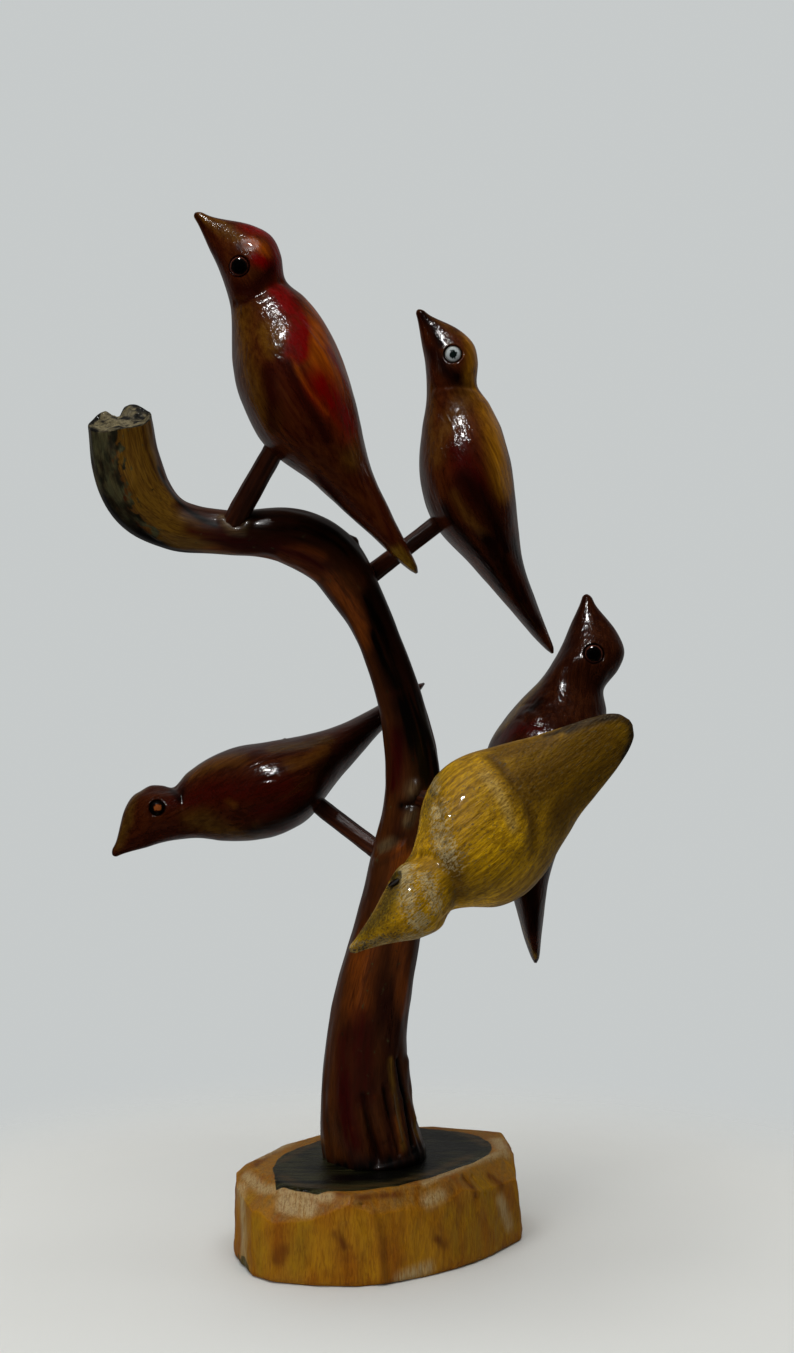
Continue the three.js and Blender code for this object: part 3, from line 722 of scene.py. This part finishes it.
branchRelief = [
    (1.2, 2.3, 418, 84, 410, 92), (0.8, 1.8, 389, 90, 380, 94), (-0.9, 1.3, 400, 74, 397, 102),
    (0.8, 1.6, 676, 0), (0.7, 2.1, 801, 56, 791, 84, 780, 82, 775, 60), (-0.9, 1.3, 82, 92, 42, 88, 9, 84),
    (-0.8, 1, 91, 64, 42, 60, 9, 60), (-0.8, 1, 117, 40, 66, 30, 12, 36), (0.5, 1.6, 76, 76, 29, 74),
    (0.8, 3.4, 109, 12, 72, 8, 38, 18), (0.5, 1, 78, 54, 23, 54), (-0.6, 1.6, 339, 148, 350, 116, 362, 96),
    (0.5, 1.8, 327, 146, 339, 116, 350, 96),
    (0.35, 1, 971, 86, 952, 86, 942, 94, 928, 88, 911, 92, 897, 106, 879, 122, 859, 134),
    (-0.4, 1, 969, 84, 941, 90, 923, 86, 901, 98, 889, 112, 871, 120, 845, 138),
]
branchTones = {
    "orange": "74380a", "tan": "6a4a12", "wine": "340503",
    "moss": "1a190e", "glue": "5e4a30", "black": "050201",
}


def branchWood():
    noises = ((0.03, 0.1, 0.1), 3.0), ((0.03, 0.4, 0.4), 5.0, 0.6), ((0.25, 3.0, 3.0), 4.0)
    wood, own, wave, streaks, fibres = grained("branch wood", *noises)
    colour = wood.mix((streaks * 0.9 + wave * 0.9 - 0.4).above(0.2, 0.8), "2a0e05", "4c260a")
    crumbs = wood.noise(own, (0.5, 0.7, 0.7), 5.0)
    blots = wood.noise(own, (0.2, 0.3, 0.3), 5.0)
    for mark, code in branchTones.items():
        edge = wood.read(mark) * ((streaks - 0.5) * 3.0 + (fibres - 0.5) + 0.9)
        patchTone = code
        if mark == "moss":
            edge = (wood.read(mark) + (crumbs - 0.5) * 2.4).above(0.35, 0.6) * (crumbs * 0.8 + 0.5)
            patchTone = wood.mix(blots.above(0.4, 0.62), patchTone, "4a482e")
        colour = wood.mix(edge, colour, patchTone)
    cut = (wood.read("cut") + (fibres - 0.5) * 0.3).above(0.3, 0.7)
    cutTone = wood.mix(crumbs.above(0.3, 0.65), "423a26", "746a4c")
    # Painted shade in the cut's cracks and hollows.
    cutTone = wood.mix(wood.read("crevice"), cutTone, "0c0a06")
    colour = wood.mix(cut, colour, cutTone)
    colour = wood.darkened(colour, 0.5, fibres.above(0.3, 0.62), "7e664c")
    roughness = 0.2 + wave * 0.12 + fibres * 0.1 + cut * 0.4
    roughness = roughness + wood.read("dull") * 0.3 + wood.read("moss") * 0.2
    gloss = {"Coat Weight": 0.15, "Coat Roughness": 0.08}
    return wood.shine(colour, roughness, streaks + fibres * 0.5, 0.08, **gloss)


makeBranch()
print("branch made")


# Birds, each with its peg and eyes

birdForm = [  # share of the length, then levels of back and belly and half the width in such shares
    (0, 0.009, -0.009, 0.009), (0.03, 0.03, -0.01, 0.018), (0.09, 0.092, -0.018, 0.042),
    (0.14, 0.121, -0.024, 0.068), (0.19, 0.117, -0.035, 0.085), (0.25, 0.095, -0.057, 0.084),
    (0.31, 0.113, -0.092, 0.108), (0.39, 0.122, -0.13, 0.155), (0.48, 0.112, -0.151, 0.182),
    (0.57, 0.088, -0.147, 0.178), (0.66, 0.057, -0.112, 0.15), (0.75, 0.031, -0.081, 0.118),
    (0.85, 0.019, -0.052, 0.09), (0.94, 0.012, -0.028, 0.062), (0.985, 0.008, -0.012, 0.036),
    (1, 0.002, -0.004, 0.01),
]
carving = {
    "rings": 230,
    "sides": 150,
    "widest": 0.45,
    "tailStart": 0.7,
    "tip": 0.011,
    "lumps": [((16, 9, 9), 0, 2, 0.28), ((6, 4, 4), 5, 2, 0.07)],
    "pegSocket": 5,
    "peg": 4.8,
    "rodRings": 70,
    "rodSides": 48,
    "rodFacets": 8,
    "rodLumps": [((9, 1.8, 1.8), 9, 2, 0.12)],
    "beadRings": 36,
    "eyeRadius": 2.4,
    "eyeRim": 0.3,
    "eyeShadow": 0.5,
    "pitDepth": 1.75,
    "beadThickness": 1.9,
}
birds = {}
birds["upper_left"] = {
    "length": 108, "beak": (-0.525, 0.046, 0.85), "back": (0.851, 0.02, 0.525),
    "lean": (0.497, -0.138, 0.856), "seat": 0.577, "bow": -0.002, "girth": 0.995, "eye": (0.174, 0.021),
    "peg": 5.6, "sunk": 2.2,
    "strokes": {
        "olive": [(1.4, 6, -27, 39, 15, 87, 9, 112, 14),
            (3.6, 270, -39, 323, -42, 383, -40, 450, -39, 508, -40), (2.6, 607, 38, 658, 54, 697, 32),
            (2, 358, 15, 388, -3, 333, -4), (0.8, 2, 68, 35, 46, 78, 27)],
        "gold": [(1.7, 938, -22, 965, -24, 995, -56)],
        "red": [(3, 106, 62, 129, 86, 170, 82, 207, 69), (1.7, 182, 20, 199, 33, 216, 46),
            ((3, 1.6), 275, 42, 318, 39, 363, 39, 398, 28, 424, 21),
            (4.4, 524, 32, 560, 40, 602, 46, 622, 51), (1.3, 455, 58, 503, 64, 539, 69)],
        "dull": [(1.3, 136, 8, 144, 24)],
        "amber": [(5.5, 409, 51, 471, 51, 529, 51), (4.6, 347, 87, 409, 88, 471, 87, 513, 92),
            (1.6, 140, 22, 166, 38, 178, 39), (0.6, 424, 14, 466, 14, 518, 18, 581, 26)],
        "dark": [(1.6, 234, 12, 229, 32, 220, 45), (0.9, 238, -51, 252, -20, 252, 8),
            (1.7, 216, -32, 234, -12, 238, 8), (2, 429, -15, 487, -22, 534, -40),
            (1.3, 435, 9, 513, 8, 586, 12, 632, 10), (0.9, 539, 90, 617, 93, 711, 92, 801, 90),
            (1.7, 571, -66, 622, -68), (0.5, 4, -16, 44, -36), (2, 697, -46, 801, -74, 867, 268)],
    },
    "relief": [
        (-0.35, 1, 238, -51, 252, -20, 252, 8, 252, 32, 252, 63), (0.25, 2, 265, -28, 275, 9, 279, 34),
        (-0.12, 0.7, 424, 14, 466, 14, 518, 18, 581, 26), (0.2, 0.8, 571, -6),
        (-0.15, 2.6, 378, 50, 424, 51),
    ],
    "wood": "4e260a", "shade": "3c1006",
    "patches": {"olive": "5e3a0c", "amber": "9a4804", "red": "700301", "dark": "2c0a04", "gold": "7c5c16"},
}
birds["upper_right"] = {
    "length": 97.1, "beak": (-0.367, 0.051, 0.929), "back": (0.93, 0.05, 0.364),
    "lean": (0.791, 0.125, 0.599), "seat": 0.56, "bow": 0.0274, "girth": 0.971, "eye": (0.153, 0.038),
    "eyeRadius": 2.1, "eyeShadow": 0.0,
    "strokes": {
        "amber": [(2.3, 129, 76, 178, 63, 220, 50), (4.3, 275, 84, 358, 66, 440, 56, 518, 48),
            (1.7, 112, 84, 159, 86, 207, 66, 234, 54)],
        "olive": [(2.6, 256, 36, 298, 8, 347, -24, 393, -34), (2, 216, -64, 303, -54, 388, -42),
            (1.4, 508, -21, 586, -14, 637, -3), (0.9, 758, 256, 841, -76), (0.9, 1, 75, 57, 44, 99, 46)],
        "red": [(3.9, 398, -4, 461, 3, 508, 10)],
        "dark": [(2, 216, 9, 186, -15, 126, -39), (2.6, 482, -3, 576, 14, 687, 21),
            (1.7, 20, 6, 62, 2, 115, -12), (2, 534, -42, 581, -39, 647, -40, 711, -33, 788, -42),
            (2.6, 692, 50, 775, 64, 853, 60), (2.9, 653, 0, 735, 4, 818, 6, 910, -6)],
    },
    "relief": [
        (-0.4, 1, 216, -51, 229, -8, 242, 27, 256, 56), (0.3, 1.4, 234, -38, 242, 9, 261, 36),
        (0.16, 0.6, 238, -34, 294, -16, 338, -6), (-0.2, 2, 289, -26, 328, -15), (0.25, 0.9, 353, 3),
        (0.2, 0.9, 393, 14),
    ],
    "wood": "54280c", "shade": "3a1405",
    "patches": {"olive": "563410", "amber": "a8700e", "red": "3a0602", "dark": "140503"},
}
birds["lower_left"] = {
    "length": 89.5, "beak": (-0.86, -0.257, -0.441), "back": (-0.477, 0.097, 0.873),
    "lean": (-0.76, 0.375, 0.531), "seat": 0.613, "bow": 0.019, "tail": (0.077, 0.01), "girth": 1.1,
    "eye": (0.174, 0.058), "eyeRadius": 1.7,
    "strokes": {
        "olive": [(1.6, 163, 87, 126, 68, 84, 40, 30, 48), (2.3, 303, 92, 368, 63, 440, 52),
            (3, 261, -8, 284, -34, 328, -54, 378, -63), (2, 560, 51, 627, 44, 702, 38)],
        "amber": [(2, 323, 64, 383, 63, 450, 46), (1.7, 565, 20, 627, 14, 682, 16), (0.9, 358, 3, 368, -6)],
        "red": [((3, 2.9), 270, 22, 328, 20, 388, 12, 450, 3, 518, -4), (2.6, 424, -26, 497, -26, 550, -22),
            (1.7, 212, 24, 242, 30)],
        "dark": [(2.9, 653, -15, 739, -8, 814, 4, 860, 15), (2.6, 581, -42, 534, -44, 466, -50, 393, -52),
            (0.9, 242, 64, 242, 30, 265, 50), (2, 637, -9, 607, -34)],
    },
    "relief": [
        (0.9, 3.9, 195, 86, 220, 84), (-0.45, 1.2, 256, 81, 256, 40, 234, 8, 220, -28), (0.25, 0.8, 256, 44),
        (-0.25, 1, 333, 22, 409, 16, 503, 9), (0.5, 0.5, 612, 78),
    ],
    "wood": "421c08", "shade": "300e04",
    "patches": {"olive": "4c320e", "amber": "5a340c", "red": "380a03", "dark": "100402"},
}
birds["front"] = {
    "length": 94.9, "beak": (-0.75, -0.369, -0.549), "back": (0.4, -0.914, 0.068),
    "lean": (0.779, -0.607, -0.156), "seat": 0.56, "bow": 0.026, "girth": 1.1, "eye": (0.19, 0.03),
    "alike": False, "neck": 0.285, "eyeRadius": 1.7, "eyeRim": 0.8, "eyeShadow": 0.9, "pitDepth": 0.9,
    "beadThickness": 0.6,
    "strokes": {
        "pale": [(2.2, 234, 166, 195, 141, 174, 122, 163, 98, 170, 69), (2.6, 247, 123, 238, 102, 229, 82),
            (1.2, 147, 87, 159, 54), (2.7, 403, 159, 368, 147, 342, 130, 333, 114),
            ((2.2, 1.3), 2, -2, 25, 42, 67, 56, 122, 44, 174, 27), (1.6, 466, 196, 440, 172),
            (1.7, 338, 124, 328, 110)],
        "straw": [(1.4, 555, 138, 545, 114, 524, 94)],
        "umber": [(2, 617, 154, 607, 124, 607, 102, 581, 82, 539, 70),
            (7.2, 647, 111, 735, 106, 826, 105, 910, 102), (4.6, 672, 66, 766, 64, 849, 62, 922, 63),
            (3.9, 658, 160, 711, 152, 780, 147), (2, 328, 118, 318, 90, 298, 54),
            (2, 627, 152, 702, 156, 762, 146)],
        "olive": [(3.7, 445, 188, 378, 192, 318, 208), (3.3, 55, 180, 106, 158, 155, 164, 207, 183)],
        "amber": [(3.9, 534, 166, 529, 141, 518, 120), (3.3, 414, 102, 445, 84, 518, 82)],
        "band": [((2, 1), 845, 162, 888, 164, 948, 164, 987, 177, 1000, 171, 998, 21, 968, 12, 938, 10),
            (0.8, 784, 165, 845, 162)],
        "bright": [(3.9, 424, 92, 508, 96), (3.3, 216, 48, 333, 9, 398, 42, 492, 56),
            (2.6, 429, 200, 368, 195, 323, 192)],
        "dark": [(0.8, 968, 10, 933, 12), (0.7, 617, 186, 677, 184), (0.8, 0, -30, 32, 58),
            (0.7, 440, 188, 424, 171), (0.3, 466, 74, 487, 75, 508, 74), (0.8, 199, 201, 247, 196, 275, 196)],
        "speck": [(2.6, 65, 164, 115, 160, 166, 168), (2.2, 398, 184, 363, 207, 323, 207),
            (1.4, 15, 80, 55, 72, 102, 68)],
        "dull": [(3.9, 216, 130, 203, 84), (2.2, 393, 158, 368, 146, 338, 129, 333, 114),
            (3.9, 414, 195, 318, 208), (2.6, 60, 153, 166, 171)],
    },
    "relief": [
        (-0.75, 2, 256, 196, 298, 152, 313, 122, 308, 93, 294, 57, 294, 14), (0.6, 3.3, 212, 75),
        (-0.7, 2.2, 216, 48, 279, 22), (-0.4, 1.4, 195, 165, 151, 129, 140, 87, 166, 39),
        (-0.5, 1.6, 461, 196, 419, 164, 383, 150, 342, 146, 308, 144),
        (0.4, 1.6, 424, 159, 393, 141, 358, 135),
        (-0.35, 1.7, 612, 156, 607, 124, 607, 100, 581, 82, 550, 70),
        (0.25, 1.7, 581, 153, 581, 124, 576, 102, 550, 87, 513, 76), (-0.25, 0.5, 466, 74, 487, 75, 508, 74),
        (-0.2, 0.7, 805, 156, 867, 164, 930, 183, 968, 160),
    ],
    "wood": "b88a06", "shade": "9c7604",
    "patches": {
        "umber": "6e4e08", "olive": "80660e", "amber": "b88c0c", "bright": "d8a60a", "band": "3a2c1a",
        "straw": "b89440", "pale": "b8aa80", "speck": "463614", "dark": "241e12",
    },
    "look": {
        "roughness": 0.45, "specular": 0.12, "coat": 0.24, "grainDepth": 0.14, "specks": 0.75,
        "ripples": 2.4, "fibres": (0.5, 3.0, 3.0),
        "pores": "6a5420", "poreStrength": 0.55, "veins": "7e6430", "veinStrength": 0.5,
    },
}
birds["lower_right"] = {
    "length": 100.7, "beak": (0.144, 0.179, 0.973), "back": (0.99, -0.031, -0.14),
    "lean": (0.683, 0.476, 0.554), "seat": 0.57, "bow": 0.042, "girth": 1.13, "eye": (0.168, 0.035),
    "strokes": {
        "olive": [(2.2, 429, 270, 383, -66, 323, -69, 275, -68), (0.8, 867, 262, 943, -46, 985, -8)],
        "red": [(2, 419, -52, 398, -34, 393, -14)],
        "dark": [(2, 788, -10, 849, 9, 907, 15), (1.3, 342, -36, 318, -30)],
    },
    "relief": [
        (0.35, 1.6, 353, -38, 363, -20), (-0.4, 1, 368, -44, 388, -24, 388, -10),
        (-0.3, 0.9, 328, -58, 323, -40),
    ],
    "wood": "3c1c0a", "shade": "280c04",
    "patches": {"olive": "6e5420", "red": "3c0a05", "dark": "120503"},
}
woodLook = {
    "clouds": (0.025, 0.07, 0.07), "streaks": (0.04, 0.8, 0.8), "fibres": (0.25, 4.5, 4.5), "ragged": 1.6,
    "pores": "805838", "poreStrength": 0.4, "veins": "8a6a50", "veinStrength": 0.4, "roughness": 0.06,
    "brushing": 0.08, "grainDepth": 0.05, "specular": 0.3, "coat": 0.16, "specks": 0.0, "ripples": 4.0,
}
pegLook = {**woodLook, "wood": "4e240c", "shade": "240c04", "patches": {}, "roughness": 0.34}


def birdSection(bird, share):
    # Distance from the beak, levels of back and belly, and half width, all bent down by a half sine and
    # swept at the tail. The beak's tip is a small round end: a quarter circle over the first hundredth.
    length, (longer, higher) = bird["length"], bird.get("tail", (0, 0))
    share = np.asarray(share, float)
    formShare = np.interp(share, [0, bird.get("neck", 0.25), 0.48, 1], [0, 0.25, 0.48, 1])
    back, belly, half = np.moveaxis(curved(birdForm, formShare) * bird["girth"], -1, 0)
    middle = (back + belly) / 2
    blunt = np.sqrt(np.clip(1 - np.maximum(1 - share / carving["tip"], 0) ** 2, 0.02, 1))
    back, belly, half = middle + (back - middle) * blunt, middle + (belly - middle) * blunt, half * blunt
    sweep = np.maximum(0, (share - carving["tailStart"]) / (1 - carving["tailStart"])) ** 2
    bend = bird["bow"] * np.sin(np.pi * share) - higher * sweep
    return (share + longer * sweep) * length, (back - bend) * length, (belly - bend) * length, half * length


def birdPoint(bird, share, turn):
    # Own place at a share of the length and degrees round the body from the left flank up to the back: half
    # an ellipse above the widest line and half of another one below it.
    along, back, belly, half = birdSection(bird, share)
    widest = belly + (back - belly) * carving["widest"]
    rise = np.sin(np.radians(turn))
    height = np.where(rise > 0, back - widest, widest - belly)
    return np.stack([along + 0 * rise, half * np.cos(np.radians(turn)), widest + height * rise], -1)


def pegEnds(name):  # middles of the two ends of a peg's solid, from the branch outwards
    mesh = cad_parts["peg_" + name].data
    points = np.zeros(len(mesh.vertices) * 3)
    mesh.vertices.foreach_get("co", points)
    points = np.unique(np.round(points.reshape(-1, 3) / metres, 3), axis=0)
    lean = unit(birds[name]["lean"])
    along = points @ lean
    middle = (along.max() + along.min()) / 2
    return points[along < middle].mean(0) + (0, birds[name].get("sunk", 0), 0), points[along > middle].mean(0)


def makeBird(name, bird):
    eyeShare, eyeRise = bird["eye"]
    # Rings are closer together at the eyes, the beak's tip and the tail's end, and points on the flanks.
    byEye = lambda s: 2.2 * np.exp(-((s - eyeShare) / 0.035) ** 2)
    share = spread(carving["rings"], lambda s: 1 + byEye(s) + 3 * (s < 0.015) + (s > 0.97))
    byFlank = lambda s: 1.2 * np.exp(-(np.sin(fullTurn * s) / 0.45) ** 2)
    turn = 360 * spread(carving["sides"], lambda s: 1 + byFlank(s), closed=True)
    share, turn = share[:, None] + 0 * turn[None], turn[None] + 0 * share[:, None]
    own = birdPoint(bird, share, turn)
    normal = outward(own)
    height = layered(own, carving["lumps"], bird["seed"]) * np.minimum(1, 6 * share * (1 - share) + 0.15)
    # Both flanks are painted alike on most birds, so strokes are placed on one and folded over to the other.
    alike = [False, bird.get("alike", True), False]
    fold = lambda places: np.where(alike, np.abs(places), places)
    step = lambda thousandths, degrees: fold(birdPoint(bird, thousandths / 1000, degrees))
    marks = {"own": own}
    for mark in (*bird["patches"], "dull"):
        marks[mark] = covered(fold(own), bird["strokes"].get(mark, ()), 2, step)
    height += raisedBy(fold(own), bird["relief"], 2, step)
    eyeAlong = birdSection(bird, eyeShare)[0]
    eyeLevel = eyeRise * bird["length"]
    away = np.hypot(own[..., 0] - eyeAlong, own[..., 2] - eyeLevel)
    eye = {**carving, **bird}  # a bird may set its own sizes of eye
    pitRadius = eye["eyeRadius"] + eye["eyeRim"]
    carved = own + normal * height[..., None]
    pit = 1 - ease(away + lumps(own, 1.5, 7, 1) * 0.08, pitRadius - 0.25, pitRadius + 0.2)
    carved[..., 1] -= np.sign(own[..., 1]) * pit * eye["pitDepth"]
    # Painted shade: the dark mark covers each eye's pit and a rim round it, as far as eyeShadow reaches.
    marks["dark"] = np.maximum(marks["dark"], 1 - ease(away, pitRadius - 0.1, pitRadius + eye["eyeShadow"]))

    root, tip = pegEnds(name)
    lean = unit(tip - root)
    seat = tip - carving["pegSocket"] * lean
    beak = unit(bird["beak"])
    left = unit(np.cross(bird["back"], beak))
    axes = np.stack([-beak, left, np.cross(beak, left)])
    seatAlong, _, seatBelly, _ = birdSection(bird, bird["seat"])
    toWorld = lambda places: seat + (places - (seatAlong, 0, seatBelly)) @ axes
    finish = lacqueredWood("bird wood " + name, {**woodLook, **bird, **bird.get("look", {})})
    gridPiece("carved_" + name, toWorld(carved), marks, "bird_" + name, finish)
    makePeg(name, bird, root, tip)

    # Eyes: a domed bead in each pit, a flattened ball.
    cheek = np.abs(birdPoint(bird, eyeShare, cheekTurn(bird))[1])
    rise = np.linspace(0.02, np.pi - 0.02, carving["beadRings"])[:, None]
    angle = fullTurn * np.arange(carving["rodSides"])[None] / carving["rodSides"]
    ball = ringed(np.sin(rise), angle, np.cos(rise))
    half = eye["beadThickness"] / 2
    slot, finish = eyeFinishes.get(name, blackBead)
    for side, out in (("l", 1), ("r", -1)):
        middle = np.array([eyeAlong, out * (cheek + half - eye["pitDepth"]), eyeLevel])
        bead = middle + ball[..., [0, 2, 1]] * (eye["eyeRadius"], out * half, eye["eyeRadius"])
        gridPiece(f"bead_{name}_{side}", toWorld(bead), {"own": ball}, f"eye_{name}_{side}", finish)


def makePeg(name, bird, root, tip):  # a whittled rod, many-sided and a little uneven
    ring = np.linspace(0, 1, carving["rodRings"])[:, None]
    angle = fullTurn * np.arange(carving["rodSides"])[None] / carving["rodSides"]
    length = np.linalg.norm(tip - root)
    lean = unit(tip - root)
    half = bird.get("peg", carving["peg"]) / 2
    local = ringed(1, angle, ring * length)[..., [2, 0, 1]]
    facet = fullTurn / carving["rodFacets"]
    flats = np.cos((np.mod(angle + 0.5 * np.sin(3 * ring), facet) - facet / 2))
    radius = half * (0.97 / np.maximum(flats, 0.93)) * (1.03 - 0.08 * ring)
    radius = radius + layered(local * (1, 2.5, 2.5), carving["rodLumps"], bird["seed"])
    across = unit(np.cross(lean, (0, 0, 1.0)))
    aside = np.cross(lean, across)
    outwards = local[..., 1:2] * across + local[..., 2:] * aside
    rod = root + local[..., :1] * lean + radius[..., None] * outwards
    marks = {"own": local * (1, half, half), "dull": 0 * radius}
    finish = lacqueredWood("peg wood " + name, pegLook)
    gridPiece("dowel_" + name, rod, marks, "peg_" + name, finish)


def cheekTurn(bird):  # degrees round the head where the eye is
    _, back, belly, _ = birdSection(bird, bird["eye"][0])
    widest = belly + (back - belly) * carving["widest"]
    level = bird["eye"][1] * bird["length"]
    height = back - widest if level > widest else widest - belly
    return np.degrees(np.arcsin((level - widest) / height))


def beadFinish(name, body, pupil, ring, pupilSize, ringFrom=0.84):
    glass = Finish(bpy.data.materials.new(name))
    own = glass.read("own", "Vector")
    flat = glass.stretched(own, (1.0, 1.0, 0.0))
    away = glass.node("ShaderNodeVectorMath", {"operation": "LENGTH"}, {0: flat}, "Value")
    cloud = glass.noise(own, (2.2, 2.2, 2.2), 3.0)
    colour = glass.mix((away + (cloud - 0.5) * 0.9).above(pupilSize - 0.06, pupilSize + 0.06), pupil, body)
    colour = glass.mix((away + (cloud - 0.5) * 0.3).above(ringFrom - 0.04, ringFrom + 0.06), colour, ring)
    gloss = {"Coat Weight": 0.5, "Coat Roughness": 0.03}
    return glass.shine(colour, 0.08 + cloud * 0.08, cloud, 0.03, **gloss)


blackBead = ("eye_bead", beadFinish("black bead", "0b0706", "030202", "4a241a", 0.7, 0.86))
whiteBead = ("eye_bead_white", beadFinish("white bead", "b4bcbc", "101a18", "7c7c76", 0.5, 0.86))
dimBead = ("eye_bead", beadFinish("dim bead", "0d0908", "030202", "1c140a", 0.7))
amberBead = ("eye_bead_amber", beadFinish("amber bead", "2a0e04", "86461e", "060302", 0.52, 0.66))
eyeFinishes = {"upper_right": whiteBead, "lower_left": amberBead, "front": dimBead}
for order, (name, bird) in enumerate(birds.items()):
    bird["seed"] = 100 + 20 * order
    makeBird(name, bird)
    print("bird made:", name)
